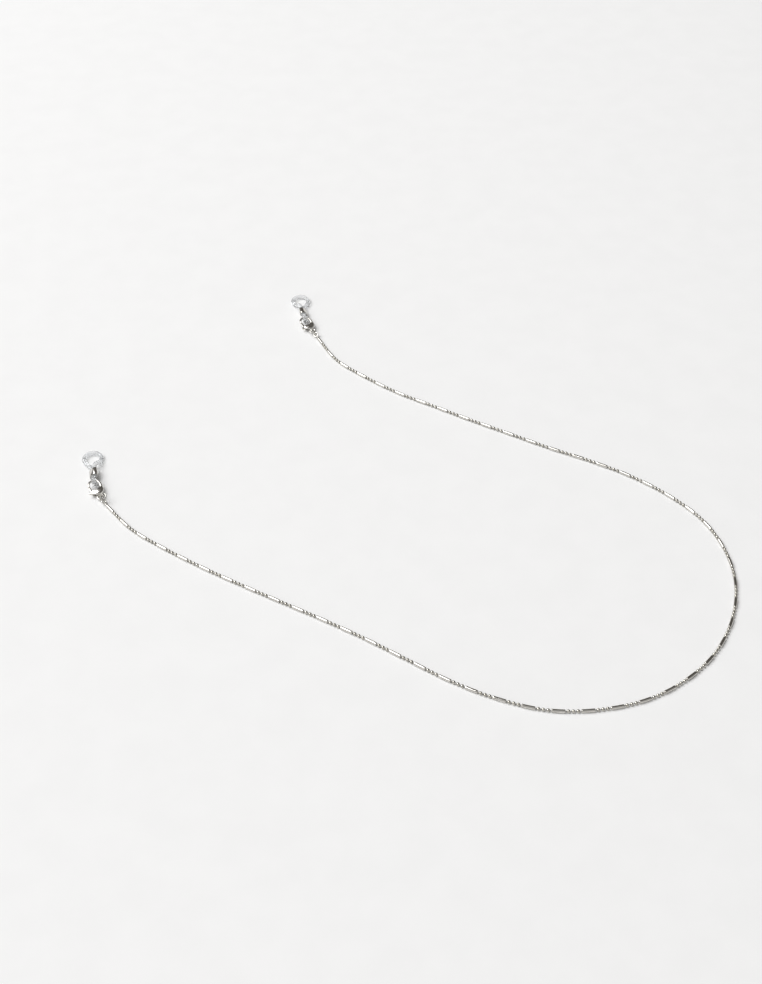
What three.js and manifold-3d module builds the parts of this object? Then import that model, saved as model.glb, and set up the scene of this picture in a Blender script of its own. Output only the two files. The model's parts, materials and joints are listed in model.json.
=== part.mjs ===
// Eyeglasses chain strap, laid out flat on a table. Millimetres, +Z up, the table top is z = 0.
// A bar-and-bead chain runs in one long U. Each end carries, from the chain outwards: an end eye,
// a jump ring, a lobster clasp and a clear silicone loop pinched by a metal ferrule.
// The origin is the centre of the strap's footprint, on the table.
import * as THREE from 'three';
import Module from 'manifold-3d';
import { mergeVertices } from 'three/addons/utils/BufferGeometryUtils.js';

const wasm = await Module();
wasm.setup();

const degrees = THREE.MathUtils.degToRad;

// ---- Driving dimensions ----

// Chain: a bar, then three beads, repeated. Bars and beads share one diameter.
const CHAIN = {
  diameter: 1.5,
  barLength: 5.6,
  beadLength: 1.5,
  pitch: 11.8,
  bars: 52,
  beadsPerGap: 3,
  barsPerSegment: 2,
  pinRadius: 0.3,
  barChamfer: 0.25,
};
CHAIN.length = (CHAIN.bars - 1) * CHAIN.pitch + CHAIN.barLength;
CHAIN.gap = (CHAIN.pitch - CHAIN.barLength - CHAIN.beadsPerGap * CHAIN.beadLength) / (CHAIN.beadsPerGap + 1);
CHAIN.axisHeight = CHAIN.diameter / 2;

// The chain's route over the table, from its left end round the bend to its right end.
const ROUTE = [
  [-130, -21], [-117, -36], [-101, -48], [-84, -59], [-67, -69], [-49, -79], [-31, -89], [-14, -99],
  [3, -110], [20, -121], [38, -130], [58, -136], [78, -136], [98, -131], [115, -121], [129, -107],
  [139, -89], [144, -69], [143, -49], [136, -30], [123, -14], [107, -1], [90, 9], [72, 18],
  [54, 28], [36, 38], [19, 48], [2, 58], [-14, 70], [-29, 84], [-39, 102],
];

// End eye: a small ring on a short neck, lifted and rolled so that the jump ring can pass through.
const END_EYE = {
  ringRadius: 1.1,
  wireRadius: 0.32,
  reach: 2.35,
  neckRadius: 0.36,
  neckOverlap: 0.1,
  lift: degrees(12.5),
  roll: degrees(30),
};

// Jump ring: it leans on its edge and passes through both eyes.
const JUMP_RING = { ringRadius: 2.15, wireRadius: 0.33, lean: degrees(55), floorGap: 0.02 };

// Lobster clasp. Its own origin is the centre of its eye, x runs towards the hook, z is its normal.
// eyeSlack is how far the eye's centre hangs back from the jump ring's wire.
const CLASP = {
  eyeRadius: 1.35,
  eyeWireRadius: 0.34,
  eyeHeight: 1.35,
  eyeSlack: -0.35,
  lift: degrees(7.5),
  thickness: 2.4,
  bevel: 0.3,
  outline: [
    [1.55, -0.5], [2.0, -1.25], [2.8, -2.2], [4.2, -2.75], [5.1, -2.6], [5.2, -1.75], [4.5, -0.9],
    [4.2, 0.1], [4.3, 1.1], [4.6, 1.9], [4.5, 2.5], [3.6, 2.7], [2.5, 2.3], [1.9, 1.4], [1.55, 0.5],
  ],
  hookCentre: 7.8,
  hookRadius: 2.6,
  hookTip: 7.3,
  arm: [[4.2, -2.15], [6.0, -2.5]],
  armRadius: 0.85,
  hookWireRadius: 0.55,
  armTaper: 0.3,
};

// The slot between the clasp's two cheeks, open towards +x and +y.
const SLOT = { corner: [1.3, 0.35], size: [5, 4], width: 1.0 };

const LEVER = {
  thickness: 0.8,
  pivot: [3.4, 1.8],
  holeRadius: 0.45,
  outline: [
    [2.95, 0.9], [3.5, 0.7], [4.1, 1.35], [5.2, 1.95], [6.3, 2.2], [7.08, 2.2], [7.08, 3.0], [6.0, 3.15],
    [4.8, 3.0], [4.2, 3.0], [4.0, 3.9], [3.6, 4.2], [3.2, 4.0], [3.0, 2.8], [2.65, 2.1], [2.65, 1.4],
  ],
};
const LEVER_PIN = { radius: 0.35, length: 2.3, holeRadius: 0.42 };
const CUTTER_LENGTH = 4;
const LEVER_SPRING = { coilRadius: 0.3, wireRadius: 0.09, turns: 3, from: 1.7, to: 2.4, y: 0.95 };

// Silicone loop: one closed round cord. Along its length it is described by its half width, by how
// far the pair of strands is rolled about the strap's line, and by the height of the strands' middle.
const SILICONE = {
  cordRadius: 0.95,
  start: 0.9,
  smallLoopHeight: 2.72,
  restHeight: 0.97,
  ferruleHeight: 2.06,
  ferruleRoll: degrees(45),
  halfWidths: [
    [0.3, 0.95], [1.1, 1.6], [2.1, 1.75], [3.0, 1.55], [3.8, 1.18], [4.6, 0.98], [5.4, 0.98], [9.2, 0.98],
    [11.0, 0.98], [12.2, 1.14], [13.5, 1.7], [14.9, 2.6], [16.5, 3.45], [18.3, 3.95], [20.2, 3.7],
    [21.7, 2.65], [22.6, 1.3],
  ],
  length: 22.9,
  strandGap: 0.98,
  smallLoopEnd: 1.8,
  straightFrom: 5.0,
  straightTo: 11.0,
  flatFrom: 16.4,
};

const FERRULE = { width: 4.6, height: 2.7, wall: 0.27, length: 4.4, from: 5.1 };

// How finely each round shape is faceted: sides of a wire or pin, and steps round or along it.
const FACETS = {
  chainSides: 6,
  eyeWireSides: 6,
  eyeRingSteps: 18,
  neckSides: 10,
  wireSides: 8,
  jumpRingSteps: 24,
  claspEyeSteps: 20,
  hookArcSteps: 12,
  hookSteps: 20,
  pinSides: 12,
  springStepsPerTurn: 9,
  springCurveSegments: 3,
  siliconeSides: 8,
  siliconeSteps: 66,
  ferruleArcSteps: 8,
  routeDivisions: 3000,
};

// Each end: which way its jump ring leans, and how its pieces turn about their upright axes.
const ENDS = [
  { name: 'left', side: -1, eyeTurn: -4, ringTurn: -3, claspTurn: -6, siliconeTurn: -17 },
  { name: 'right', side: 1, eyeTurn: -2, ringTurn: 3, claspTurn: 0, siliconeTurn: -20 },
];

// ---- Materials ----

const silver = new THREE.MeshStandardMaterial({ color: 0xc9c8c5, metalness: 1, roughness: 0.18 });
const springSteel = new THREE.MeshStandardMaterial({ color: 0x9a9a98, metalness: 1, roughness: 0.35 });
const silicone = new THREE.MeshStandardMaterial({
  color: 0xe6eaee, metalness: 0, roughness: 0.25, transparent: true, opacity: 0.55,
});

// ---- Geometry helpers ----

function toSolid(geometry) {
  const bare = geometry.clone();
  bare.deleteAttribute('normal');
  bare.deleteAttribute('uv');
  const merged = mergeVertices(bare, 1e-5);
  return new wasm.Manifold(new wasm.Mesh({
    numProp: 3,
    vertProperties: merged.attributes.position.array,
    triVerts: Uint32Array.from(merged.index.array),
  }));
}

function toGeometry(solid) {
  const mesh = solid.getMesh();
  const geometry = new THREE.BufferGeometry();
  geometry.setAttribute('position', new THREE.BufferAttribute(Float32Array.from(mesh.vertProperties), 3));
  geometry.setIndex([...mesh.triVerts]);
  geometry.computeVertexNormals();
  return geometry;
}

function placed(geometry, { x = 0, y = 0, z = 0, turnX = 0, turnY = 0, turnZ = 0 }) {
  const matrix = new THREE.Matrix4().makeRotationFromEuler(new THREE.Euler(turnX, turnY, turnZ));
  matrix.setPosition(x, y, z);
  return geometry.clone().applyMatrix4(matrix);
}

// A closed solid of round sections along a level curve. Each station has its distance along the
// curve and its radius; the sections' flats touch that radius and lie level above and below.
function roundAlong(curve, stations, sides) {
  const total = curve.getLength();
  const vertices = [];
  const faces = [];
  const reach = 1 / Math.cos(Math.PI / sides);
  for (const { at, radius } of stations) {
    const centre = curve.getPointAt(at / total);
    const tangent = curve.getTangentAt(at / total);
    const left = new THREE.Vector3(-tangent.y, tangent.x, 0).normalize();
    for (let side = 0; side < sides; side += 1) {
      const angle = (2 * Math.PI * side) / sides;
      const across = radius * reach * Math.cos(angle);
      const up = radius * reach * Math.sin(angle);
      vertices.push(centre.x + left.x * across, centre.y + left.y * across, centre.z + up);
    }
  }
  const rings = stations.length;
  for (let ring = 0; ring < rings - 1; ring += 1) {
    for (let side = 0; side < sides; side += 1) {
      const next = (side + 1) % sides;
      const a = ring * sides + side;
      const b = ring * sides + next;
      faces.push(a, b, a + sides, b, b + sides, a + sides);
    }
  }
  const last = (rings - 1) * sides;
  for (let side = 1; side < sides - 1; side += 1) {
    faces.push(0, side + 1, side);
    faces.push(last, last + side, last + side + 1);
  }
  const geometry = new THREE.BufferGeometry();
  geometry.setAttribute('position', new THREE.Float32BufferAttribute(vertices, 3));
  geometry.setIndex(faces);
  geometry.computeVertexNormals();
  return geometry;
}

function outline(points) {
  return new THREE.Shape(points.map(([x, y]) => new THREE.Vector2(x, y)));
}

function smooth(value, from, to) {
  return THREE.MathUtils.smoothstep(value, from, to);
}

// ---- Chain ----

function chainRoute() {
  const points = ROUTE.map(([x, y]) => new THREE.Vector3(x, y, CHAIN.axisHeight));
  const curve = new THREE.CatmullRomCurve3(points, false, 'catmullrom', 0.5);
  curve.arcLengthDivisions = FACETS.routeDivisions;
  return curve;
}

function barStations(start) {
  const radius = CHAIN.diameter / 2;
  const end = start + CHAIN.barLength;
  const shoulder = radius - CHAIN.barChamfer;
  return [
    { at: start, radius: shoulder },
    { at: start + CHAIN.barChamfer, radius },
    { at: end - CHAIN.barChamfer, radius },
    { at: end, radius: shoulder },
  ];
}

function beadStations(start) {
  return [
    { at: start, radius: CHAIN.pinRadius },
    { at: start + CHAIN.beadLength / 2, radius: CHAIN.diameter / 2 },
    { at: start + CHAIN.beadLength, radius: CHAIN.pinRadius },
  ];
}

// A segment is one strand of bars and beads with the thin pins that join them.
function segmentStations(firstBar) {
  const stations = [];
  for (let bar = firstBar; bar < firstBar + CHAIN.barsPerSegment; bar += 1) {
    const barStart = bar * CHAIN.pitch;
    stations.push(...barStations(barStart));
    if (bar === CHAIN.bars - 1) {
      break;
    }
    for (let bead = 0; bead < CHAIN.beadsPerGap; bead += 1) {
      const beadStart = barStart + CHAIN.barLength + CHAIN.gap + bead * (CHAIN.beadLength + CHAIN.gap);
      stations.push(...beadStations(beadStart));
    }
  }
  return stations;
}

function buildChain(route) {
  const group = new THREE.Group();
  const segments = CHAIN.bars / CHAIN.barsPerSegment;
  for (let segment = 0; segment < segments; segment += 1) {
    const stations = segmentStations(segment * CHAIN.barsPerSegment);
    const mesh = new THREE.Mesh(roundAlong(route, stations, FACETS.chainSides), silver);
    mesh.name = `chain_segment_${String(segment + 1).padStart(2, '0')}`;
    group.add(mesh);
  }
  return group;
}

// ---- End eye and jump ring ----

function endEyeGeometry() {
  const ring = placed(
    new THREE.TorusGeometry(END_EYE.ringRadius, END_EYE.wireRadius, FACETS.eyeWireSides, FACETS.eyeRingSteps),
    { x: END_EYE.reach },
  );
  const neckLength = END_EYE.reach - END_EYE.ringRadius - CHAIN.gap / 2 + END_EYE.neckOverlap;
  const neck = placed(
    new THREE.CylinderGeometry(END_EYE.neckRadius, END_EYE.neckRadius, neckLength, FACETS.neckSides),
    { x: CHAIN.gap / 2 + neckLength / 2, turnZ: Math.PI / 2 },
  );
  return toGeometry(toSolid(ring).add(toSolid(neck)));
}

// Where the jump ring's wire crosses a given height, as a point from the ring's centre.
function ringCrossing(height, side, towards) {
  const { ringRadius, lean } = JUMP_RING;
  const rise = (height - ringHeight()) / (ringRadius * Math.sin(lean));
  const along = ringRadius * Math.sqrt(1 - rise * rise);
  return new THREE.Vector3(towards * along, side * ringRadius * Math.cos(lean) * rise, 0);
}

function ringHeight() {
  return JUMP_RING.ringRadius * Math.sin(JUMP_RING.lean) + JUMP_RING.wireRadius + JUMP_RING.floorGap;
}

function jumpRingGeometry() {
  const { ringRadius, wireRadius } = JUMP_RING;
  return new THREE.TorusGeometry(ringRadius, wireRadius, FACETS.wireSides, FACETS.jumpRingSteps);
}

// ---- Lobster clasp ----

function hookCurve() {
  const { hookCentre, hookRadius, hookTip, arm } = CLASP;
  const points = arm.map(([x, y]) => new THREE.Vector3(x, y, 0));
  for (let step = 0; step <= FACETS.hookArcSteps; step += 1) {
    const angle = -Math.PI / 2 + (Math.PI * step) / FACETS.hookArcSteps;
    const x = hookCentre + hookRadius * Math.cos(angle);
    points.push(new THREE.Vector3(x, hookRadius * Math.sin(angle), 0));
  }
  points.push(new THREE.Vector3(hookTip, hookRadius, 0));
  return new THREE.CatmullRomCurve3(points, false, 'centripetal');
}

function hookGeometry() {
  const curve = hookCurve();
  const total = curve.getLength();
  const stations = [];
  for (let step = 0; step <= FACETS.hookSteps; step += 1) {
    const part = step / FACETS.hookSteps;
    const tapered = smooth(part, 0, CLASP.armTaper);
    const radius = THREE.MathUtils.lerp(CLASP.armRadius, CLASP.hookWireRadius, tapered);
    stations.push({ at: part * total, radius });
  }
  return roundAlong(curve, stations, FACETS.wireSides);
}

function claspBlockGeometry() {
  const depth = CLASP.thickness - 2 * CLASP.bevel;
  const block = new THREE.ExtrudeGeometry(outline(CLASP.outline), {
    depth, bevelEnabled: true, bevelThickness: CLASP.bevel, bevelSize: CLASP.bevel, bevelSegments: 1,
  });
  return placed(block, { z: -depth / 2 });
}

// A cylinder that stands upright on the clasp's flat face.
function upright(radius, length, sides, [x, y]) {
  return placed(new THREE.CylinderGeometry(radius, radius, length, sides), { x, y, turnX: Math.PI / 2 });
}

function claspBodyGeometry() {
  const { eyeRadius, eyeWireRadius } = CLASP;
  const eye = new THREE.TorusGeometry(eyeRadius, eyeWireRadius, FACETS.wireSides, FACETS.claspEyeSteps);
  const [slotLength, slotDepth] = SLOT.size;
  const slot = placed(
    new THREE.BoxGeometry(slotLength, slotDepth, SLOT.width),
    { x: SLOT.corner[0] + slotLength / 2, y: SLOT.corner[1] + slotDepth / 2 },
  );
  const pinHole = upright(LEVER_PIN.holeRadius, CUTTER_LENGTH, FACETS.pinSides, LEVER.pivot);
  const eyeHole = upright(eyeRadius - eyeWireRadius, CUTTER_LENGTH, FACETS.claspEyeSteps, [0, 0]);
  const solid = toSolid(claspBlockGeometry())
    .subtract(toSolid(slot))
    .subtract(toSolid(pinHole))
    .subtract(toSolid(eyeHole))
    .add(toSolid(eye))
    .add(toSolid(hookGeometry()));
  return toGeometry(solid);
}

function leverGeometry() {
  const lever = placed(
    new THREE.ExtrudeGeometry(outline(LEVER.outline), { depth: LEVER.thickness, bevelEnabled: false }),
    { z: -LEVER.thickness / 2 },
  );
  const hole = upright(LEVER.holeRadius, CUTTER_LENGTH, FACETS.pinSides, LEVER.pivot);
  return toGeometry(toSolid(lever).subtract(toSolid(hole)));
}

function leverPinGeometry() {
  return upright(LEVER_PIN.radius, LEVER_PIN.length, FACETS.pinSides, LEVER.pivot);
}

class Helix extends THREE.Curve {
  getPoint(t, target = new THREE.Vector3()) {
    const { coilRadius, turns, from, to, y } = LEVER_SPRING;
    const angle = 2 * Math.PI * turns * t;
    return target.set(
      THREE.MathUtils.lerp(from, to, t),
      y + coilRadius * Math.cos(angle),
      coilRadius * Math.sin(angle),
    );
  }
}

function leverSpringGeometry() {
  const section = new THREE.Shape();
  section.absarc(0, 0, LEVER_SPRING.wireRadius, 0, 2 * Math.PI);
  const coil = new THREE.ExtrudeGeometry(section, {
    steps: FACETS.springStepsPerTurn * LEVER_SPRING.turns,
    curveSegments: FACETS.springCurveSegments,
    extrudePath: new Helix(),
  });
  return toGeometry(toSolid(coil));
}

// ---- Silicone loop and ferrule ----

function strandRoll(x) {
  const { smallLoopEnd, straightFrom, straightTo, flatFrom, ferruleRoll } = SILICONE;
  const untwist = (Math.PI / 2 - ferruleRoll) * (1 - smooth(x, smallLoopEnd, straightFrom));
  return untwist + ferruleRoll * (1 - smooth(x, straightTo, flatFrom));
}

function strandHeight(x, halfWidth) {
  const { smallLoopHeight, ferruleHeight, restHeight, ferruleRoll } = SILICONE;
  if (x <= SILICONE.straightTo) {
    const fall = smooth(x, SILICONE.smallLoopEnd, SILICONE.straightFrom);
    return THREE.MathUtils.lerp(smallLoopHeight, ferruleHeight, fall);
  }
  const neckLift = ferruleHeight - restHeight - SILICONE.strandGap * Math.sin(ferruleRoll);
  const settle = 1 - smooth(x, SILICONE.straightTo, SILICONE.flatFrom);
  return restHeight + halfWidth * Math.sin(strandRoll(x)) + neckLift * settle;
}

// The upper strand has hand 1 and the lower strand -1; side says which way the pair is rolled.
function strandPoint([x, halfWidth], hand, side) {
  const roll = strandRoll(x);
  return new THREE.Vector3(
    SILICONE.start + x,
    side * hand * halfWidth * Math.cos(roll),
    strandHeight(x, halfWidth) + hand * halfWidth * Math.sin(roll),
  );
}

function siliconeCurve(side) {
  const upper = SILICONE.halfWidths.map((entry) => strandPoint(entry, 1, side));
  const lower = SILICONE.halfWidths.map((entry) => strandPoint(entry, -1, side)).reverse();
  const near = strandPoint([0, 0], 1, side);
  const far = strandPoint([SILICONE.length, 0], 1, side);
  const points = [near, ...upper, far, ...lower];
  return new THREE.CatmullRomCurve3(points, true, 'centripetal');
}

function siliconeGeometry(side) {
  const { siliconeSteps, siliconeSides } = FACETS;
  return new THREE.TubeGeometry(siliconeCurve(side), siliconeSteps, SILICONE.cordRadius, siliconeSides, true);
}

function stadium(shape, width, height) {
  const radius = height / 2;
  const offset = width / 2 - radius;
  shape.absarc(offset, 0, radius, -Math.PI / 2, Math.PI / 2);
  shape.absarc(-offset, 0, radius, Math.PI / 2, (3 * Math.PI) / 2);
  return shape;
}

function ferruleGeometry() {
  const { width, height, wall, length } = FERRULE;
  const shape = stadium(new THREE.Shape(), width, height);
  shape.holes.push(stadium(new THREE.Path(), width - 2 * wall, height - 2 * wall));
  const tube = new THREE.ExtrudeGeometry(shape, {
    depth: length, curveSegments: FACETS.ferruleArcSteps, bevelEnabled: false,
  });
  // The tube is drawn along z; it is turned to run along x with its wide side level.
  const turned = tube.applyMatrix4(new THREE.Matrix4().set(0, 0, 1, 0, 1, 0, 0, 0, 0, 1, 0, 0, 0, 0, 0, 1));
  return toGeometry(toSolid(turned));
}

// ---- One end of the strap ----

function named(name, geometry, material) {
  const mesh = new THREE.Mesh(geometry, material);
  mesh.name = name;
  return mesh;
}

function buildEnd(end, origin, heading) {
  const { name, side } = end;
  const root = new THREE.Group();
  root.position.copy(origin);
  root.rotation.z = heading + degrees(end.eyeTurn);

  const eye = named(`${name}_end_eye`, endEyeGeometry(), silver);
  eye.position.z = CHAIN.axisHeight;
  eye.rotation.set(-side * END_EYE.roll, -END_EYE.lift, 0, 'ZYX');
  root.add(eye);

  const eyeHeight = CHAIN.axisHeight + END_EYE.reach * Math.sin(END_EYE.lift);
  const ringGroup = new THREE.Group();
  ringGroup.name = `${name}_ring_pivot`;
  ringGroup.position.x = END_EYE.reach * Math.cos(END_EYE.lift);
  ringGroup.rotation.z = degrees(end.ringTurn);
  const ringCentre = ringCrossing(eyeHeight, side, -1).negate();
  const ring = named(`${name}_jump_ring`, jumpRingGeometry(), silver);
  ring.position.set(ringCentre.x, ringCentre.y, ringHeight());
  ring.rotation.x = side * JUMP_RING.lean;
  ringGroup.add(ring);
  root.add(ringGroup);

  const claspGroup = new THREE.Group();
  claspGroup.name = `${name}_clasp_pivot`;
  claspGroup.position.copy(ringCentre).add(ringCrossing(CLASP.eyeHeight, side, 1));
  claspGroup.position.x += CLASP.eyeSlack;
  claspGroup.rotation.z = degrees(end.claspTurn);
  ringGroup.add(claspGroup);
  const clasp = new THREE.Group();
  clasp.name = `${name}_clasp_frame`;
  clasp.position.z = CLASP.eyeHeight;
  clasp.rotation.y = -CLASP.lift;
  clasp.add(named(`${name}_clasp_body`, claspBodyGeometry(), silver));
  clasp.add(named(`${name}_clasp_lever`, leverGeometry(), silver));
  clasp.add(named(`${name}_lever_pin`, leverPinGeometry(), silver));
  clasp.add(named(`${name}_lever_spring`, leverSpringGeometry(), springSteel));
  claspGroup.add(clasp);

  const loopGroup = new THREE.Group();
  loopGroup.name = `${name}_loop_pivot`;
  loopGroup.position.x = CLASP.hookCentre * Math.cos(CLASP.lift);
  loopGroup.rotation.z = degrees(end.siliconeTurn);
  loopGroup.add(named(`${name}_silicone_loop`, siliconeGeometry(side), silicone));
  const ferrule = named(`${name}_ferrule`, ferruleGeometry(), silver);
  ferrule.position.set(SILICONE.start + FERRULE.from, 0, SILICONE.ferruleHeight);
  ferrule.rotation.x = side * SILICONE.ferruleRoll;
  loopGroup.add(ferrule);
  claspGroup.add(loopGroup);
  return root;
}

// ---- The whole strap ----

function buildStrap() {
  const strap = new THREE.Group();
  const route = chainRoute();
  const total = route.getLength();
  strap.add(buildChain(route));
  for (const end of ENDS) {
    const outwards = end.name === 'left' ? -1 : 1;
    const along = end.name === 'left' ? 0 : CHAIN.length / total;
    const tangent = route.getTangentAt(along).multiplyScalar(outwards);
    const pivot = route.getPointAt(along).addScaledVector(tangent, CHAIN.gap / 2);
    pivot.z = 0;
    strap.add(buildEnd(end, pivot, Math.atan2(tangent.y, tangent.x)));
  }
  const box = new THREE.Box3().setFromObject(strap, true);
  const centre = box.getCenter(new THREE.Vector3());
  strap.position.set(-centre.x, -centre.y, -box.min.z);
  return strap;
}

export default buildStrap();
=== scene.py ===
"""Looks of the eyeglasses chain strap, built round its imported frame.

The pieces are shaped in millimetres in the strap's own terms and placed in metres where the frame's
joints say: a bar-and-bead chain in segments, and at each end an end eye, a jump ring, a lobster clasp
and a clear silicone loop held by a ferrule.
"""

import json
import math

import bmesh
import bpy
from mathutils import Matrix, Vector


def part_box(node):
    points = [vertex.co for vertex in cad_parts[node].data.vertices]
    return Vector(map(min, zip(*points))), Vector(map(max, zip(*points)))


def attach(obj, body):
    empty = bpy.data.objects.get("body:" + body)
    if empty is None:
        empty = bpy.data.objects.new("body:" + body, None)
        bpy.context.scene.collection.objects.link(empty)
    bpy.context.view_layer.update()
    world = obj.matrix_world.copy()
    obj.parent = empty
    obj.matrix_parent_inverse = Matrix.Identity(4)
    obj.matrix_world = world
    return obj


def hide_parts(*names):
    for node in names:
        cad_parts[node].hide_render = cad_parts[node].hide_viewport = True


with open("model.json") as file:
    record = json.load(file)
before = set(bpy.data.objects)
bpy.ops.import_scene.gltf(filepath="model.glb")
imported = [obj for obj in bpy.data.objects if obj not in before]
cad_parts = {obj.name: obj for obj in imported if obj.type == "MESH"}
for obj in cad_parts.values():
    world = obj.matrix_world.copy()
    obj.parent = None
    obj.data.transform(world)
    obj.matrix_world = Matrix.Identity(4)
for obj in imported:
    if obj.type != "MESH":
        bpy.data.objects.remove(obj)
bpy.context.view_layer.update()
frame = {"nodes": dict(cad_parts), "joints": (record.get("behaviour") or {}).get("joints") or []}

MM = 0.001
SCENE = bpy.context.scene

# ---- Driving dimensions, in millimetres unless said otherwise ----

# The camera stands in front of the chain's near run and looks along +Y and down.
CAMERA_PLACE = (-6.6, -489.6, 454.5)
CAMERA_ELEVATION = math.radians(43.56)
CAMERA_LENS = 53.1
CAMERA_CLIP_START = 0.01

# Light, in metres and watts: a large softbox over the left and far side, and a studio whose tone rises
# with how far a direction leans to the lighter side. The camera itself sees the plain backdrop.
SOFTBOX_PLACE = (-3.2, 1.0, 4.6)
SOFTBOX_SIZE = (5.6, 4.8)
SOFTBOX_POWER = 359
LIGHTER_SIDE = (-0.15, -0.75, 0.25)
STUDIO_STOPS = [(0.0, (0.115, 0.109, 0.102)), (0.45, (0.5, 0.498, 0.495))]
BACKDROP = (0.888, 0.888, 0.888, 1)

# The floor is solid round the strap and fades out towards its rim; in metres.
FLOOR_RADIUS = 2.4
FLOOR_SOLID = 0.7
FLOOR_SIDES = 96
FLOOR_TINTS = ((0.885, 0.885, 0.885), (0.9, 0.9, 0.9))
FLOOR_CLOUDS = 60
FLOOR_ROUGHNESS = 0.75
FLOOR_SPECULAR = 0.2

# The part of a noise's range over which a tint or a roughness goes from its low to its high end.
TINT_SPREAD = (0.35, 0.65)
RANGE_SPREAD = (0.3, 0.7)
CLOUD_DETAIL = 4
GRAIN_DETAIL = 6

# Metals: name, darker and lighter tint, roughness, and the noise scales of the clouds and of the grain.
METALS = {
    "bar": ("silver_bars", (0.62, 0.60, 0.56), (0.73, 0.71, 0.67), (0.1, 0.17), 260, 9000),
    "bead": ("silver_beads", (0.50, 0.48, 0.43), (0.64, 0.62, 0.57), (0.12, 0.2), 420, 9000),
    "pin": ("steel_pins", (0.42, 0.41, 0.39), (0.52, 0.51, 0.49), (0.25, 0.35), 600, 12000),
    "fitting": ("silver_fittings", (0.68, 0.66, 0.62), (0.79, 0.77, 0.74), (0.12, 0.2), 300, 5000),
    "wire": ("silver_wire", (0.66, 0.65, 0.61), (0.77, 0.76, 0.72), (0.1, 0.18), 380, 8000),
    "spring": ("spring_steel", (0.42, 0.42, 0.41), (0.55, 0.55, 0.54), (0.25, 0.38), 700, 9000),
}
# The polish changes over shorter distances than the tint. A grain is a bump strength and a depth in metres.
POLISH_TO_CLOUDS = 2.3
METAL_GRAIN = (0.12, 0.00002)

SILICONE_IOR = 1.41
SILICONE_TRANSMISSION = 0.76
SILICONE_TINTS = ((0.94, 0.955, 0.97), (0.985, 0.99, 0.995))
SILICONE_CLOUDS = 350
SILICONE_ROUGHNESS = (0.08, 0.2)
SILICONE_POLISH = 500
SILICONE_GRAIN_SCALE = 900
SILICONE_GRAIN = (0.1, 0.00005)

# Meshes: edges sharper than this stay sharp, and corners nearer than this are joined. Softening cuts this
# part off each side of an outline's corners.
SHARP_EDGE = math.radians(38)
WELD_DISTANCE = 1e-4
CORNER_CUT = 0.25
CAST_SMOOTHING = 0.5
PLATE_EDGE_STEPS = 4

# Chain: a bar, then three beads, repeated. The corner is the radius of a bar's rolled rims.
RADIUS = 0.75
BAR_LENGTH = 5.6
BEAD_LENGTH = 1.5
PITCH = 11.8
BARS = 52
BEADS_PER_GAP = 3
BARS_PER_SEGMENT = 2
SEGMENTS = BARS // BARS_PER_SEGMENT
GAP = (PITCH - BAR_LENGTH - BEADS_PER_GAP * BEAD_LENGTH) / (BEADS_PER_GAP + 1)
BAR_CORNER = 0.32
BAR_SIDES = 22
BEAD_SIDES = 18
HOLE_RADIUS = 0.27
HOLE_DEPTH = 0.18

# A pin is held a little deeper than the holes at its ends. Its loose tip reaches only a little way into
# the next segment's hole and is rounded at these angles.
PIN_RADIUS = 0.16
PIN_SIDES = 10
PIN_HOLD = HOLE_DEPTH + 0.05
PIN_TIP = 0.12
TIP_ANGLES = (0, 0.4, 0.8, 1.2)

# The chain's route over the table, from its left end round the bend to its right end.
ROUTE = [
    (-130, -21), (-117, -36), (-101, -48), (-84, -59), (-67, -69), (-49, -79), (-31, -89), (-14, -99),
    (3, -110), (20, -121), (38, -130), (58, -136), (78, -136), (98, -131), (115, -121), (129, -107),
    (139, -89), (144, -69), (143, -49), (136, -30), (123, -14), (107, -1), (90, 9), (72, 18),
    (54, 28), (36, 38), (19, 48), (2, 58), (-14, 70), (-29, 84), (-39, 102),
]
ROUTE_STEPS = 160

# End eye: a small ring on a neck, lifted and rolled for the jump ring. The neck is given by radius at a
# distance from its root, which stands half a gap from the swivel.
EYE_RING = 1.1
EYE_WIRE = 0.32
EYE_REACH = 2.35
EYE_NECK = [(0, 0), (0, 0.24), (0.06, 0.33), (0.16, 0.36), (0.5, 0.36)]
EYE_NECK_END = 0.3
EYE_NECK_SIDES = 20
EYE_PIN_HOLD = 0.1
EYE_PIN_SIDES = 14
EYE_VOXEL = 0.045
EYE_LIFT = math.radians(12.5)
EYE_ROLL = math.radians(30)

# Steps round the end eyes' and the clasps' eyes.
EYE_STEPS = 48

# Jump ring; its split is an angle, and only its outer corners tell how its CAD solid is tilted.
RING_RADIUS = 2.15
RING_WIRE = 0.33
RING_STEPS = 72
RING_SPLIT = 0.035
RING_OUTER_CORNERS = 40

# Lobster clasp, from the centre of its eye; x runs towards the hook and z is its normal. The body's
# outline is widened by a margin, and its faces are domed: the crown's height is lost at its reach.
CLASP_EYE = 1.35
CLASP_EYE_WIRE = 0.34
CLASP_LIFT = math.radians(7.5)
CLASP_VOXEL = 0.085
CLASP_THICKNESS = 2.4
CLASP_ROUNDING = 0.55
CLASP_CROWN = 0.3
CLASP_CROWN_CENTRE = (3.5, -0.15)
CLASP_CROWN_REACH = 2.9
CLASP_MARGIN = 0.3
CLASP_OUTLINE = [
    (1.55, -0.5), (2.0, -1.25), (2.8, -2.2), (4.2, -2.75), (5.1, -2.6), (5.2, -1.75), (4.5, -0.9),
    (4.2, 0.1), (4.3, 1.1), (4.6, 1.9), (4.5, 2.5), (3.6, 2.7), (2.5, 2.3), (1.9, 1.4), (1.55, 0.5),
]
SLOT_WIDTH = 1.0
SLOT_CORNER = (1.3, 0.35)
SLOT_SIZE = (5, 4)

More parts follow.
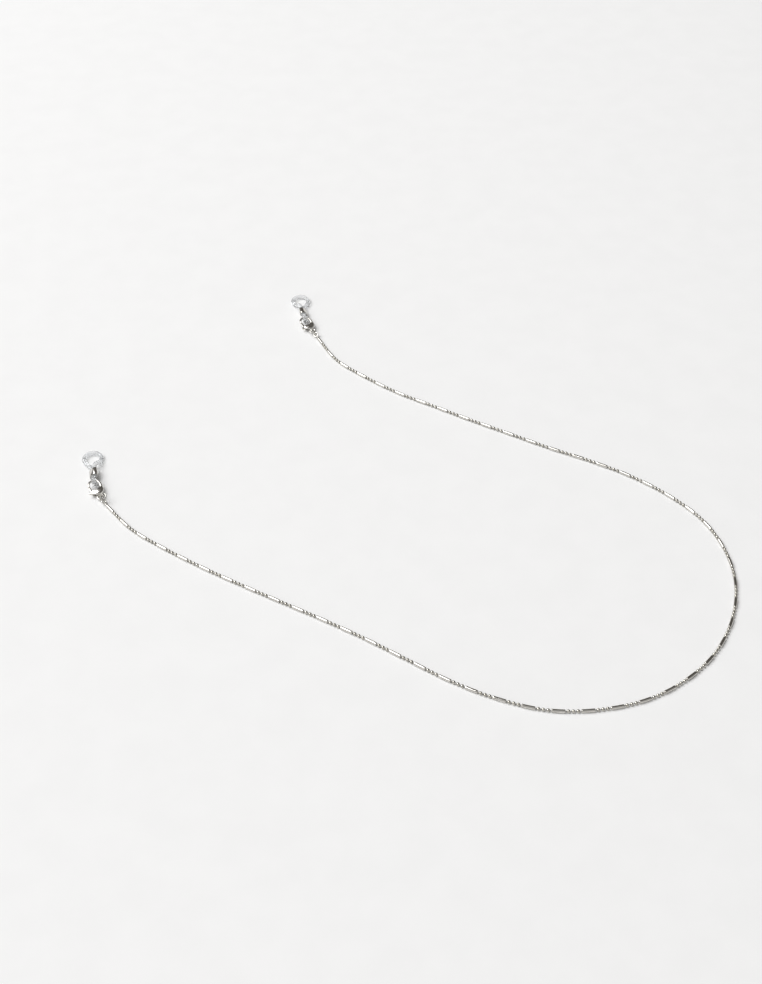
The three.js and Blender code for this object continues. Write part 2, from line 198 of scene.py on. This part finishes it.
# The hook: an arm, a half circle and a tip. Its wire thins from the body over the first part of its way.
HOOK_CENTRE = 7.8
HOOK_RADIUS = 2.6
HOOK_TIP = 7.3
HOOK_ARM = [(4.2, -2.15), (6.0, -2.5)]
HOOK_WIRE = (0.85, 0.55)
HOOK_TAPER = 0.3
HOOK_ARC_STEPS = 12

# The lever, and the riveted pin it turns on, whose heads are sunk a little into the clasp's faces.
LEVER_THICKNESS = 0.8
LEVER_ROUNDING = 0.14
LEVER_PIVOT = (3.4, 1.8)
LEVER_OUTLINE = [
    (2.95, 0.9), (3.5, 0.7), (4.1, 1.35), (5.2, 1.95), (6.3, 2.2), (7.08, 2.2), (7.08, 3.0), (6.0, 3.15),
    (4.8, 3.0), (4.2, 3.0), (4.0, 3.9), (3.6, 4.2), (3.2, 4.0), (3.0, 2.8), (2.65, 2.1), (2.65, 1.4),
]
RIVET_SHAFT = 0.35
RIVET_HEAD = 0.52
RIVET_DOME = 0.1
RIVET_SUNK = 0.05
RIVET_DOME_STEPS = 4
RIVET_SIDES = 24

# The lever's return spring, which lies along x in the slot.
SPRING_RADIUS = 0.3
SPRING_WIRE = 0.09
SPRING_TURNS = 3
SPRING_TURN_STEPS = 24
SPRING_SPAN = (1.7, 2.4)
SPRING_Y = 0.95

# Silicone loop: its pair of strands is upright at the hook, rolled in the ferrule and flat on the table
# in the large loop. Distances run along the loop from the hook.
CORD_RADIUS = 0.95
LOOP_START = 0.9
LOOP_LENGTH = 22.9
SMALL_LOOP_HEIGHT = 2.72
REST_HEIGHT = 0.97
FERRULE_HEIGHT = 2.06
FERRULE_ROLL = math.radians(45)
FERRULE_HALF_WIDTH = 0.98
SMALL_LOOP_END = 1.8
STRAIGHT = (5.0, 11.0)
FLAT_FROM = 16.4
# Distance along the loop and half the distance between the strands, which is the ferrule's where the
# loop is straight.
HALF_WIDTHS = [
    (0.3, 0.95), (1.1, 1.6), (2.1, 1.75), (3.0, 1.55), (3.8, 1.18), (4.6, 0.98), (5.4, 0.98), (9.2, 0.98),
    (11.0, 0.98), (12.2, 1.14), (13.5, 1.7), (14.9, 2.6), (16.5, 3.45), (18.3, 3.95), (20.2, 3.7),
    (21.7, 2.65), (22.6, 1.3),
]

# Ferrule: a flat tube round both strands, by where it starts along the loop.
FERRULE_WIDTH = 4.6
FERRULE_DEPTH = 2.7
FERRULE_WALL = 0.27
FERRULE_LENGTH = 4.4
FERRULE_FROM = 5.1
FERRULE_END_STEPS = 16
FERRULE_LIP_STEPS = 6


# ---- Camera, floor and light ----

def add_camera():
    data = bpy.data.cameras.new("camera")
    data.lens = CAMERA_LENS
    data.clip_start = CAMERA_CLIP_START
    camera = bpy.data.objects.new("camera", data)
    camera.location = Vector(CAMERA_PLACE) * MM
    camera.rotation_euler = (math.pi / 2 - CAMERA_ELEVATION, 0, 0)
    SCENE.collection.objects.link(camera)
    SCENE.camera = camera


def add_floor():
    bpy.ops.mesh.primitive_circle_add(
        vertices=FLOOR_SIDES, radius=FLOOR_RADIUS, fill_type="NGON", location=(0, 0, 0),
    )
    floor = bpy.context.object
    floor.name = "floor"
    floor.data.materials.append(floor_material())


def floor_material():
    """Plain pale matt, solid in the middle and clear at the rim."""
    material, tree, shader = new_material("pale_floor")
    shader.inputs["Roughness"].default_value = FLOOR_ROUGHNESS
    shader.inputs["Specular IOR Level"].default_value = FLOOR_SPECULAR
    tree.links.new(noise_ramp(tree, FLOOR_CLOUDS, *FLOOR_TINTS), shader.inputs["Base Color"])
    coordinates = tree.nodes.new("ShaderNodeTexCoord")
    reach = tree.nodes.new("ShaderNodeVectorMath")
    reach.operation = "LENGTH"
    fade = tree.nodes.new("ShaderNodeMapRange")
    fade.interpolation_type = "SMOOTHSTEP"
    fade.inputs["From Min"].default_value = FLOOR_SOLID
    fade.inputs["From Max"].default_value = FLOOR_RADIUS
    fade.inputs["To Min"].default_value = 1
    fade.inputs["To Max"].default_value = 0
    tree.links.new(coordinates.outputs["Object"], reach.inputs[0])
    tree.links.new(reach.outputs["Value"], fade.inputs["Value"])
    tree.links.new(fade.outputs["Result"], shader.inputs["Alpha"])
    return material


def add_softbox():
    data = bpy.data.lights.new("softbox", "AREA")
    data.shape = "RECTANGLE"
    data.size, data.size_y = SOFTBOX_SIZE
    data.energy = SOFTBOX_POWER
    light = bpy.data.objects.new("softbox", data)
    light.location = SOFTBOX_PLACE
    light.rotation_euler = (-Vector(SOFTBOX_PLACE)).to_track_quat("-Z", "Y").to_euler()
    SCENE.collection.objects.link(light)


def add_world():
    """A pale studio, lighter on the camera's side than on the far side, and the backdrop the camera sees."""
    world = bpy.data.worlds.new("studio")
    world.use_nodes = True
    SCENE.world = world
    nodes = world.node_tree.nodes
    links = world.node_tree.links
    nodes.clear()
    coordinates = nodes.new("ShaderNodeTexCoord")
    facing = nodes.new("ShaderNodeVectorMath")
    facing.operation = "DOT_PRODUCT"
    facing.inputs[1].default_value = LIGHTER_SIDE
    ramp = nodes.new("ShaderNodeValToRGB")
    paint_ramp(ramp, STUDIO_STOPS)
    studio = nodes.new("ShaderNodeBackground")
    seen = nodes.new("ShaderNodeBackground")
    seen.inputs["Color"].default_value = BACKDROP
    path = nodes.new("ShaderNodeLightPath")
    mix = nodes.new("ShaderNodeMixShader")
    output = nodes.new("ShaderNodeOutputWorld")
    links.new(coordinates.outputs["Generated"], facing.inputs[0])
    links.new(facing.outputs["Value"], ramp.inputs["Fac"])
    links.new(ramp.outputs["Color"], studio.inputs["Color"])
    links.new(path.outputs["Is Camera Ray"], mix.inputs["Fac"])
    links.new(studio.outputs[0], mix.inputs[1])
    links.new(seen.outputs[0], mix.inputs[2])
    links.new(mix.outputs[0], output.inputs["Surface"])


# ---- Materials ----

def new_material(name):
    material = bpy.data.materials.new(name)
    material.use_nodes = True
    tree = material.node_tree
    return material, tree, tree.nodes["Principled BSDF"]


def paint_ramp(ramp, stops):
    """Sets the two stops of a new colour ramp."""
    for element, (at, colour) in zip(ramp.color_ramp.elements, stops):
        element.position = at
        element.color = (*colour, 1)


def noise(tree, scale, detail=CLOUD_DETAIL):
    coordinates = tree.nodes.new("ShaderNodeTexCoord")
    texture = tree.nodes.new("ShaderNodeTexNoise")
    texture.inputs["Scale"].default_value = scale
    texture.inputs["Detail"].default_value = detail
    tree.links.new(coordinates.outputs["Object"], texture.inputs["Vector"])
    return texture.outputs["Fac"]


def noise_ramp(tree, scale, dark, light):
    ramp = tree.nodes.new("ShaderNodeValToRGB")
    paint_ramp(ramp, zip(TINT_SPREAD, (dark, light)))
    tree.links.new(noise(tree, scale), ramp.inputs["Fac"])
    return ramp.outputs["Color"]


def noise_range(tree, scale, low, high):
    span = tree.nodes.new("ShaderNodeMapRange")
    span.inputs["From Min"].default_value = RANGE_SPREAD[0]
    span.inputs["From Max"].default_value = RANGE_SPREAD[1]
    span.inputs["To Min"].default_value = low
    span.inputs["To Max"].default_value = high
    tree.links.new(noise(tree, scale), span.inputs["Value"])
    return span.outputs["Result"]


def add_bump(tree, shader, scale, strength, distance):
    bump = tree.nodes.new("ShaderNodeBump")
    bump.inputs["Strength"].default_value = strength
    bump.inputs["Distance"].default_value = distance
    tree.links.new(noise(tree, scale, GRAIN_DETAIL), bump.inputs["Height"])
    tree.links.new(bump.outputs["Normal"], shader.inputs["Normal"])


def metal_material(name, dark, light, roughness, clouds, grain):
    """Plated metal: cloudy tint and polish, and a fine grain left by the polishing."""
    material, tree, shader = new_material(name)
    shader.inputs["Metallic"].default_value = 1
    tree.links.new(noise_ramp(tree, clouds, dark, light), shader.inputs["Base Color"])
    tree.links.new(noise_range(tree, clouds * POLISH_TO_CLOUDS, *roughness), shader.inputs["Roughness"])
    add_bump(tree, shader, grain, *METAL_GRAIN)
    return material


def silicone_material():
    """Clear silicone: soft gloss, a little milky, with faint clouds."""
    material, tree, shader = new_material("clear_silicone")
    shader.inputs["IOR"].default_value = SILICONE_IOR
    shader.inputs["Transmission Weight"].default_value = SILICONE_TRANSMISSION
    tree.links.new(noise_ramp(tree, SILICONE_CLOUDS, *SILICONE_TINTS), shader.inputs["Base Color"])
    roughness = noise_range(tree, SILICONE_POLISH, *SILICONE_ROUGHNESS)
    tree.links.new(roughness, shader.inputs["Roughness"])
    add_bump(tree, shader, SILICONE_GRAIN_SCALE, *SILICONE_GRAIN)
    return material


add_camera()
MATERIALS = {kind: metal_material(*finish) for kind, finish in METALS.items()}
MATERIALS["silicone"] = silicone_material()


# ---- Shape helpers: all of them work in millimetres ----

def finished(name, mesh, matrix, materials, node, body):
    """Puts a millimetre mesh where matrix says, in metres, and rides it on its body in place of its node."""
    mesh.transform(matrix @ Matrix.Scale(MM, 4))
    mesh.name = name
    for material in materials:
        mesh.materials.append(MATERIALS[material])
    smooth_shade(mesh)
    piece = bpy.data.objects.new(name, mesh)
    SCENE.collection.objects.link(piece)
    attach(piece, body)
    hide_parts(node)


def smooth_shade(mesh):
    bm = bmesh.new()
    bm.from_mesh(mesh)
    for face in bm.faces:
        face.smooth = True
    for edge in bm.edges:
        edge.smooth = len(edge.link_faces) == 2 and edge.calc_face_angle() < SHARP_EDGE
    bm.to_mesh(mesh)
    bm.free()


def turned(bm, profile, spot, sides, material):
    """A surface turned about a line: each profile entry is a distance along it and a radius."""
    rings = []
    for along, radius in profile:
        centre, ahead = spot(along)
        if radius == 0:
            rings.append([bm.verts.new(centre)])
            continue
        left = Vector((-ahead.y, ahead.x, 0)).normalized() * radius
        up = ahead.cross(left)
        ring = []
        for side in range(sides):
            angle = math.tau * side / sides
            ring.append(bm.verts.new(centre + left * math.cos(angle) + up * math.sin(angle)))
        rings.append(ring)
    for ring, following in zip(rings, rings[1:]):
        for side in range(sides):
            after = (side + 1) % sides
            if len(ring) == 1:
                corners = [ring[0], following[after], following[side]]
            elif len(following) == 1:
                corners = [ring[side], ring[after], following[0]]
            else:
                corners = [ring[side], ring[after], following[after], following[side]]
            bm.faces.new(corners).material_index = material


def straight(along):
    return Vector((along, 0, 0)), Vector((1, 0, 0))


def mesh_from(bm):
    bmesh.ops.recalc_face_normals(bm, faces=bm.faces[:])
    mesh = bpy.data.meshes.new("shape")
    bm.to_mesh(mesh)
    bm.free()
    return mesh


def evaluated(source):
    """The mesh of an object or curve with its modifiers; the object itself is removed."""
    SCENE.collection.objects.link(source)
    graph = bpy.context.evaluated_depsgraph_get()
    mesh = bpy.data.meshes.new_from_object(source.evaluated_get(graph), depsgraph=graph)
    bpy.data.objects.remove(source)
    return mesh


def tube(points, radii, closed=False, roundness=5):
    """A round tube through the points, with a radius at each; its open ends are capped."""
    curve = bpy.data.curves.new("tube", "CURVE")
    curve.dimensions = "3D"
    curve.bevel_depth = 1
    curve.bevel_resolution = roundness
    curve.use_fill_caps = not closed
    spline = curve.splines.new("POLY")
    spline.points.add(len(points) - 1)
    for place, point, radius in zip(spline.points, points, radii):
        place.co = (*point, 1)
        place.radius = radius
    spline.use_cyclic_u = closed
    return cleaned(evaluated(bpy.data.objects.new("tube", curve)))


def plate(outline, thickness, rounding, margin):
    """A flat plate whose edge lies margin outside the outline and is rounded on both faces."""
    curve = bpy.data.curves.new("plate", "CURVE")
    curve.dimensions = "2D"
    curve.fill_mode = "BOTH"
    curve.extrude = thickness / 2 - rounding
    curve.bevel_depth = rounding
    curve.bevel_resolution = PLATE_EDGE_STEPS
    curve.offset = margin - rounding
    spline = curve.splines.new("POLY")
    spline.points.add(len(outline) - 1)
    for place, (x, y) in zip(spline.points, outline):
        place.co = (x, y, 0, 1)
    spline.use_cyclic_u = True
    return cleaned(evaluated(bpy.data.objects.new("plate", curve)))


def cleaned(mesh):
    bm = bmesh.new()
    bm.from_mesh(mesh)
    bmesh.ops.remove_doubles(bm, verts=bm.verts[:], dist=WELD_DISTANCE)
    bmesh.ops.recalc_face_normals(bm, faces=bm.faces[:])
    bm.to_mesh(mesh)
    bm.free()
    return mesh


def softened(outline, rounds):
    """The outline with its corners cut back, round by round."""
    for _ in range(rounds):
        cut = []
        for (ax, ay), (bx, by) in zip(outline, outline[1:] + outline[:1]):
            for part in (CORNER_CUT, 1 - CORNER_CUT):
                cut.append(((1 - part) * ax + part * bx, (1 - part) * ay + part * by))
        outline = cut
    return outline


def without(mesh, cutter):
    """The mesh with the cutter taken away."""
    source = bpy.data.objects.new("source", mesh)
    tool = bpy.data.objects.new("tool", cutter)
    SCENE.collection.objects.link(tool)
    cut = source.modifiers.new("cut", "BOOLEAN")
    cut.operation = "DIFFERENCE"
    cut.solver = "EXACT"
    cut.object = tool
    result = evaluated(source)
    bpy.data.objects.remove(tool)
    return result


def cast(meshes, voxel, rounds):
    """Closed shapes fused into one casting with softened edges."""
    bm = bmesh.new()
    for mesh in meshes:
        bm.from_mesh(mesh)
    joined = bpy.data.meshes.new("joined")
    bm.to_mesh(joined)
    bm.free()
    source = bpy.data.objects.new("casting", joined)
    fuse = source.modifiers.new("fuse", "REMESH")
    fuse.mode = "VOXEL"
    fuse.voxel_size = voxel
    soften = source.modifiers.new("soften", "SMOOTH")
    soften.factor = CAST_SMOOTHING
    soften.iterations = rounds
    return evaluated(source)


def box_mesh(low, high):
    bm = bmesh.new()
    bmesh.ops.create_cube(bm, size=1)
    for vertex in bm.verts:
        for axis in range(3):
            vertex.co[axis] = low[axis] if vertex.co[axis] < 0 else high[axis]
    return mesh_from(bm)


def catmull(points, closed, centripetal, steps):
    """Points along a Catmull-Rom curve through the given points, steps to each stretch."""
    count = len(points)
    if closed:
        around = [points[-1], *points, points[0], points[1]]
    else:
        around = [2 * points[0] - points[1], *points, 2 * points[-1] - points[-2]]
    found = []
    for index in range(count if closed else count - 1):
        before, start, end, after = around[index:index + 4]
        spans = [1.0, 1.0, 1.0]
        if centripetal:
            spans = [math.sqrt((b - a).length) for a, b in ((before, start), (start, end), (end, after))]
        first, middle, last = spans
        leave = (start - before) / first - (end - before) / (first + middle) + (end - start) / middle
        arrive = (end - start) / middle - (after - start) / (middle + last) + (after - end) / last
        leave *= middle
        arrive *= middle
        for step in range(steps):
            t = step / steps
            found.append(
                start * (2 * t**3 - 3 * t**2 + 1) + leave * (t**3 - 2 * t**2 + t)
                + end * (3 * t**2 - 2 * t**3) + arrive * (t**3 - t**2)
            )
    if not closed:
        found.append(points[-1].copy())
    return found


def ease(value, start, end):
    part = min(1, max(0, (value - start) / (end - start)))
    return part * part * (3 - 2 * part)


def mixed(a, b, part):
    return a + (b - a) * part


# ---- The frame's joints ----

JOINTS = {joint["name"]: joint for joint in frame["joints"]}


def joint_place(name):
    return Vector(JOINTS[name]["pos_m"])


def turn(axis, angle):
    return Matrix.Rotation(angle, 4, axis)


def towards(a, b):
    return math.atan2(b.y - a.y, b.x - a.x)


# ---- Chain ----

class Route:
    """The chain's line over the table, by distance from its left end."""

    def __init__(self):
        flat = [Vector((x, y, RADIUS)) for x, y in ROUTE]
        self.points = catmull(flat, closed=False, centripetal=False, steps=ROUTE_STEPS)
        self.reached = [0.0]
        for a, b in zip(self.points, self.points[1:]):
            self.reached.append(self.reached[-1] + (b - a).length)
        # The strap was centred over its footprint: a known hinge shows by how much.
        segment = SEGMENTS // 2
        hinge = joint_place(f"chain_bend_{segment:02d}") / MM
        shift = hinge - self.spot(segment * BARS_PER_SEGMENT * PITCH - GAP / 2)[0]
        shift.z = 0
        self.points = [point + shift for point in self.points]

    def spot(self, along):
        """The place at a distance from the left end, and the direction there."""
        low, high = 0, len(self.points) - 2
        while low < high:
            middle = (low + high + 1) // 2
            if self.reached[middle] <= along:
                low = middle
            else:
                high = middle - 1
        a, b = self.points[low], self.points[low + 1]
        ahead = (b - a).normalized()
        return a + ahead * (along - self.reached[low]), ahead


def shell_profile(length, corner, arc_steps, side_steps):
    """A hollow bar or bead from the side: a pin hole, a rolled rim, the side, and the same again."""
    rim = RADIUS - corner
    first = math.asin(max(0, (HOLE_RADIUS - rim) / corner))
    arc = []
    for step in range(arc_steps + 1):
        angle = mixed(first, math.pi / 2, step / arc_steps)
        arc.append((corner - corner * math.cos(angle), rim + corner * math.sin(angle)))
    mouth = arc[0][0]
    half = [(mouth + HOLE_DEPTH, 0), (mouth + HOLE_DEPTH, HOLE_RADIUS)]
    if rim > HOLE_RADIUS:
        half.append((mouth, HOLE_RADIUS))
    half += arc
    side = [(mixed(corner, length - corner, step / side_steps), RADIUS) for step in range(1, side_steps)]
    if side_steps == 0:
        half = half[:-1]
        side = [(length / 2, RADIUS)]
    return half + side + [(length - along, radius) for along, radius in reversed(half)]


BAR_PROFILE = shell_profile(BAR_LENGTH, BAR_CORNER, arc_steps=5, side_steps=8)
BEAD_PROFILE = shell_profile(BEAD_LENGTH, BEAD_LENGTH / 2, arc_steps=6, side_steps=0)


def pin_profile(start, end, loose=False):
    """A pin from start to end; a loose end, which plays in another segment's hole, is a half ball."""
    profile = [(start, 0), (start, PIN_RADIUS)]
    if not loose:
        return [*profile, (end, PIN_RADIUS), (end, 0)]
    for angle in TIP_ANGLES:
        profile.append((end - PIN_RADIUS * (1 - math.sin(angle)), PIN_RADIUS * math.cos(angle)))
    return [*profile, (end, 0)]


def links_of(segment):
    """Where each bar and bead of a segment starts: (start, length, is it a bar)."""
    links = []
    for bar in range(segment * BARS_PER_SEGMENT, (segment + 1) * BARS_PER_SEGMENT):
        start = bar * PITCH
        links.append((start, BAR_LENGTH, True))
        if bar == BARS - 1:
            break
        for bead in range(BEADS_PER_GAP):
            links.append((start + BAR_LENGTH + GAP + bead * (BEAD_LENGTH + GAP), BEAD_LENGTH, False))
    return links


def segment_mesh(route, segment):
    """A segment's bars, beads and pins; its last pin reaches loosely into the next segment's hole."""
    bm = bmesh.new()
    links = links_of(segment)
    for start, _, is_bar in links:
        profile, sides, material = (BAR_PROFILE, BAR_SIDES, 0) if is_bar else (BEAD_PROFILE, BEAD_SIDES, 1)
        turned(bm, [(start + along, radius) for along, radius in profile], route.spot, sides, material)
    pins = []
    for (start, length, _), (following, _, _) in zip(links, links[1:]):
        pins.append(pin_profile(start + length - PIN_HOLD, following + PIN_HOLD))
    if segment < SEGMENTS - 1:
        end = links[-1][0] + links[-1][1]
        pins.append(pin_profile(end - PIN_HOLD, end + GAP + PIN_TIP, loose=True))
    for pin in pins:
        turned(bm, pin, route.spot, PIN_SIDES, 2)
    return mesh_from(bm)


def build_chain():
    route = Route()
    for segment in range(SEGMENTS):
        node = f"chain_segment_{segment + 1:02d}"
        finished(
            f"chain_links_{segment + 1:02d}", segment_mesh(route, segment), Matrix.Identity(4),
            ["bar", "bead", "pin"], node, node,
        )


# ---- End eye and jump ring ----

def circle(radius, steps, start=0.0, sweep=math.tau):
    whole = steps if sweep == math.tau else steps + 1
    angles = [start + sweep * step / steps for step in range(whole)]
    return [Vector((radius * math.cos(a), radius * math.sin(a), 0)) for a in angles]


def end_eye_mesh():
    """The ring, its neck, and a pin that reaches back loosely into the chain's last bar."""
    ring = circle(EYE_RING, EYE_STEPS)
    ring_mesh = tube(ring, [EYE_WIRE] * len(ring), closed=True)
    ring_mesh.transform(Matrix.Translation((EYE_REACH, 0, 0)))
    bm = bmesh.new()
    root = GAP / 2
    neck = [(root + along, radius) for along, radius in EYE_NECK]
    neck += [(EYE_REACH - EYE_RING, EYE_NECK_END), (EYE_REACH - EYE_RING, 0)]
    turned(bm, neck, straight, EYE_NECK_SIDES, 0)
    pin = pin_profile(-root - EYE_PIN_HOLD, root + PIN_TIP, loose=True)
    turned(bm, [(-along, radius) for along, radius in reversed(pin)], straight, EYE_PIN_SIDES, 0)
    return cast([ring_mesh, mesh_from(bm)], EYE_VOXEL, rounds=4)


def jump_ring_mesh():
    """Round wire bent to a ring; its two cut ends almost meet."""
    points = circle(RING_RADIUS, RING_STEPS, RING_SPLIT / 2, math.tau - RING_SPLIT)
    return tube(points, [RING_WIRE] * len(points), roundness=6)


def ring_matrix(node):
    """Centre and plane of a flat round node, from its own corners."""
    corners = [vertex.co for vertex in frame["nodes"][node].data.vertices]
    low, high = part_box(node)
    centre = (low + high) / 2
    spokes = [corner - centre for corner in corners]
    outer = sorted(spokes, key=lambda spoke: spoke.length)[-RING_OUTER_CORNERS:]
    first = outer[-1].normalized()
    across = max(outer, key=lambda spoke: first.cross(spoke.normalized()).length).normalized()
    normal = first.cross(across).normalized()
    if normal.z < 0:
        normal.negate()
    return Matrix.Translation(centre) @ normal.to_track_quat("Z", "X").to_matrix().to_4x4()


# ---- Lobster clasp ----

def hook_mesh():
    points = [Vector((x, y, 0)) for x, y in HOOK_ARM]
    for step in range(HOOK_ARC_STEPS + 1):
        angle = math.pi * (step / HOOK_ARC_STEPS - 0.5)
        points.append(Vector((HOOK_CENTRE + HOOK_RADIUS * math.cos(angle), HOOK_RADIUS * math.sin(angle), 0)))
    points.append(Vector((HOOK_TIP, HOOK_RADIUS, 0)))
    line = catmull(points, closed=False, centripetal=True, steps=6)
    arm, tip = HOOK_WIRE
    radii = [mixed(arm, tip, ease(step / len(line), 0, HOOK_TAPER)) for step in range(len(line))]
    return tube(line, radii)


def crown_drop(x, y):
    """How far the domed face of the clasp's body has fallen away from its middle."""
    reach = math.hypot(x - CLASP_CROWN_CENTRE[0], y - CLASP_CROWN_CENTRE[1])
    return CLASP_CROWN * (reach / CLASP_CROWN_REACH) ** 2


def clasp_mesh():
    """The domed body with the lever's slot, fused with the eye and the hook."""
    flat = plate(softened(CLASP_OUTLINE, rounds=2), CLASP_THICKNESS, CLASP_ROUNDING, CLASP_MARGIN)
    block = cast([flat], CLASP_VOXEL, rounds=2)
    for vertex in block.vertices:
        x, y, z = vertex.co
        vertex.co.z = z * (1 - crown_drop(x, y) / (CLASP_THICKNESS / 2))
    half = SLOT_WIDTH / 2
    far_corner = (SLOT_CORNER[0] + SLOT_SIZE[0], SLOT_CORNER[1] + SLOT_SIZE[1], half)
    slot = box_mesh((*SLOT_CORNER, -half), far_corner)
    eye = circle(CLASP_EYE, EYE_STEPS)
    eye_mesh = tube(eye, [CLASP_EYE_WIRE] * len(eye), closed=True)
    return cast([without(block, slot), eye_mesh, hook_mesh()], CLASP_VOXEL, rounds=4)


def lever_mesh():
    return plate(softened(LEVER_OUTLINE, rounds=3), LEVER_THICKNESS, LEVER_ROUNDING, margin=0)


def lever_pin_mesh():
    """A riveted pin: a shaft with a low domed head at each end."""
    face = CLASP_THICKNESS / 2 - crown_drop(*LEVER_PIVOT)
    dome = []
    for step in range(RIVET_DOME_STEPS + 1):
        angle = math.pi / 2 * step / RIVET_DOME_STEPS
        dome.append((face + RIVET_DOME * math.cos(angle), RIVET_HEAD * math.sin(angle)))
    dome += [(face - RIVET_SUNK, RIVET_HEAD), (face - RIVET_SUNK, RIVET_SHAFT)]
    profile = [(-along, radius) for along, radius in dome] + list(reversed(dome))
    bm = bmesh.new()
    turned(bm, profile, straight, RIVET_SIDES, 0)
    mesh = mesh_from(bm)
    mesh.transform(Matrix.Translation((*LEVER_PIVOT, 0)) @ turn("Y", -math.pi / 2))
    return mesh


def lever_spring_mesh():
    points = []
    steps = SPRING_TURN_STEPS * SPRING_TURNS
    for step in range(steps + 1):
        angle = math.tau * SPRING_TURNS * step / steps
        points.append(Vector((
            mixed(*SPRING_SPAN, step / steps),
            SPRING_Y + SPRING_RADIUS * math.cos(angle),
            SPRING_RADIUS * math.sin(angle),
        )))
    return tube(points, [SPRING_WIRE] * len(points), roundness=3)


# ---- Silicone loop and ferrule ----

def strand_roll(along):
    """How far the pair of strands stands up from lying flat."""
    upright = (math.pi / 2 - FERRULE_ROLL) * (1 - ease(along, SMALL_LOOP_END, STRAIGHT[0]))
    return upright + FERRULE_ROLL * (1 - ease(along, STRAIGHT[1], FLAT_FROM))


def strand_height(along, half_width):
    """The height of the middle between the two strands."""
    if along <= STRAIGHT[1]:
        return mixed(SMALL_LOOP_HEIGHT, FERRULE_HEIGHT, ease(along, SMALL_LOOP_END, STRAIGHT[0]))
    lift = FERRULE_HEIGHT - REST_HEIGHT - FERRULE_HALF_WIDTH * math.sin(FERRULE_ROLL)
    settle = 1 - ease(along, STRAIGHT[1], FLAT_FROM)
    return REST_HEIGHT + half_width * math.sin(strand_roll(along)) + lift * settle


def strand_point(along, half_width, hand, side):
    """A point of the upper strand, with hand 1, or of the lower, with hand -1."""
    roll = strand_roll(along)
    return Vector((
        LOOP_START + along,
        side * hand * half_width * math.cos(roll),
        strand_height(along, half_width) + hand * half_width * math.sin(roll),
    ))


def silicone_mesh(side):
    upper = [strand_point(along, half, 1, side) for along, half in HALF_WIDTHS]
    lower = [strand_point(along, half, -1, side) for along, half in reversed(HALF_WIDTHS)]
    ends = [strand_point(0, 0, 1, side), strand_point(LOOP_LENGTH, 0, 1, side)]
    line = catmull([ends[0], *upper, ends[1], *lower], closed=True, centripetal=True, steps=7)
    return tube(line, [CORD_RADIUS] * len(line), closed=True, roundness=9)


def stadium(width, depth, steps):
    """Places and outward directions round a flat tube's section."""
    radius = depth / 2
    offset = width / 2 - radius
    found = []
    for end in (1, -1):
        for step in range(steps + 1):
            angle = math.pi * (step / steps - 0.5) + (0 if end == 1 else math.pi)
            outward = Vector((0, math.cos(angle), math.sin(angle)))
            found.append((Vector((0, end * offset, 0)) + outward * radius, outward))
    return found


def ferrule_mesh():
    """A flat tube with rounded lips; its wall is followed from the outside to the inside and back."""
    lip = FERRULE_WALL / 2
    wall = []
    for end, side in ((FERRULE_LENGTH - lip, 1), (lip, -1)):
        for step in range(FERRULE_LIP_STEPS + 1):
            angle = math.pi * step / FERRULE_LIP_STEPS
            wall.append((end + side * lip * math.sin(angle), -lip + side * lip * math.cos(angle)))
    bm = bmesh.new()
    grid = []
    for place, outward in stadium(FERRULE_WIDTH, FERRULE_DEPTH, FERRULE_END_STEPS):
        grid.append([bm.verts.new(place + outward * out + Vector((along, 0, 0))) for along, out in wall])
    for row, following in zip(grid, grid[1:] + grid[:1]):
        for index in range(len(wall)):
            after = (index + 1) % len(wall)
            bm.faces.new([row[index], row[after], following[after], following[index]])
    return mesh_from(bm)


# ---- The two ends ----

def build_end(name, side):
    """One end of the strap; side is -1 for the left end and 1 for the right, which mirrors it."""
    eye_place = joint_place(f"{name}_eye_swivel")
    ring_place = joint_place(f"{name}_ring_swing")
    clasp_place = joint_place(f"{name}_clasp_swing")
    loop_place = joint_place(f"{name}_loop_swing")
    slide = JOINTS[f"{name}_ferrule_slide"]["axis"]
    loop_place.z = 0

    eye = Matrix.Translation(eye_place) @ turn("Z", towards(eye_place, ring_place))
    eye = eye @ turn("Y", -EYE_LIFT) @ turn("X", -side * EYE_ROLL)
    clasp = Matrix.Translation(clasp_place) @ turn("Z", towards(clasp_place, loop_place))
    clasp = clasp @ turn("Y", -CLASP_LIFT)
    loop = Matrix.Translation(loop_place) @ turn("Z", math.atan2(slide[1], slide[0]))
    ferrule_place = Vector((LOOP_START + FERRULE_FROM, 0, FERRULE_HEIGHT)) * MM
    ferrule = loop @ Matrix.Translation(ferrule_place) @ turn("X", side * FERRULE_ROLL)
    ring = ring_matrix(f"{name}_jump_ring")

    # Name, mesh, place, material, CAD node, body and the record's material slot.
    pieces = [
        ("eye_link", end_eye_mesh(), eye, "fitting", "end_eye", "end_eye", "silver_fittings"),
        ("split_ring", jump_ring_mesh(), ring, "wire", "jump_ring", "jump_ring", "silver_fittings"),
        ("clasp_casting", clasp_mesh(), clasp, "fitting", "clasp_body", "clasp", "silver_fittings"),
        ("thumb_lever", lever_mesh(), clasp, "fitting", "clasp_lever", "clasp_lever", "silver_fittings"),
        ("riveted_pin", lever_pin_mesh(), clasp, "pin", "lever_pin", "clasp", "silver_fittings"),
        ("coil_spring", lever_spring_mesh(), clasp, "spring", "lever_spring", "clasp", "spring_steel"),
        (
            "clear_loop", silicone_mesh(side), loop, "silicone",
            "silicone_loop", "silicone_loop", "clear_silicone",
        ),
        ("ferrule_tube", ferrule_mesh(), ferrule, "fitting", "ferrule", "ferrule", "silver_fittings"),
    ]
    for piece, mesh, matrix, material, node, body, slot in pieces:
        finished(f"{name}_{piece}", mesh, matrix, [material], f"{name}_{node}", f"{name}_{body}")


build_chain()
build_end("left", -1)
build_end("right", 1)

SCENE.view_settings.view_transform = "Standard"
add_world()
add_floor()
add_softbox()
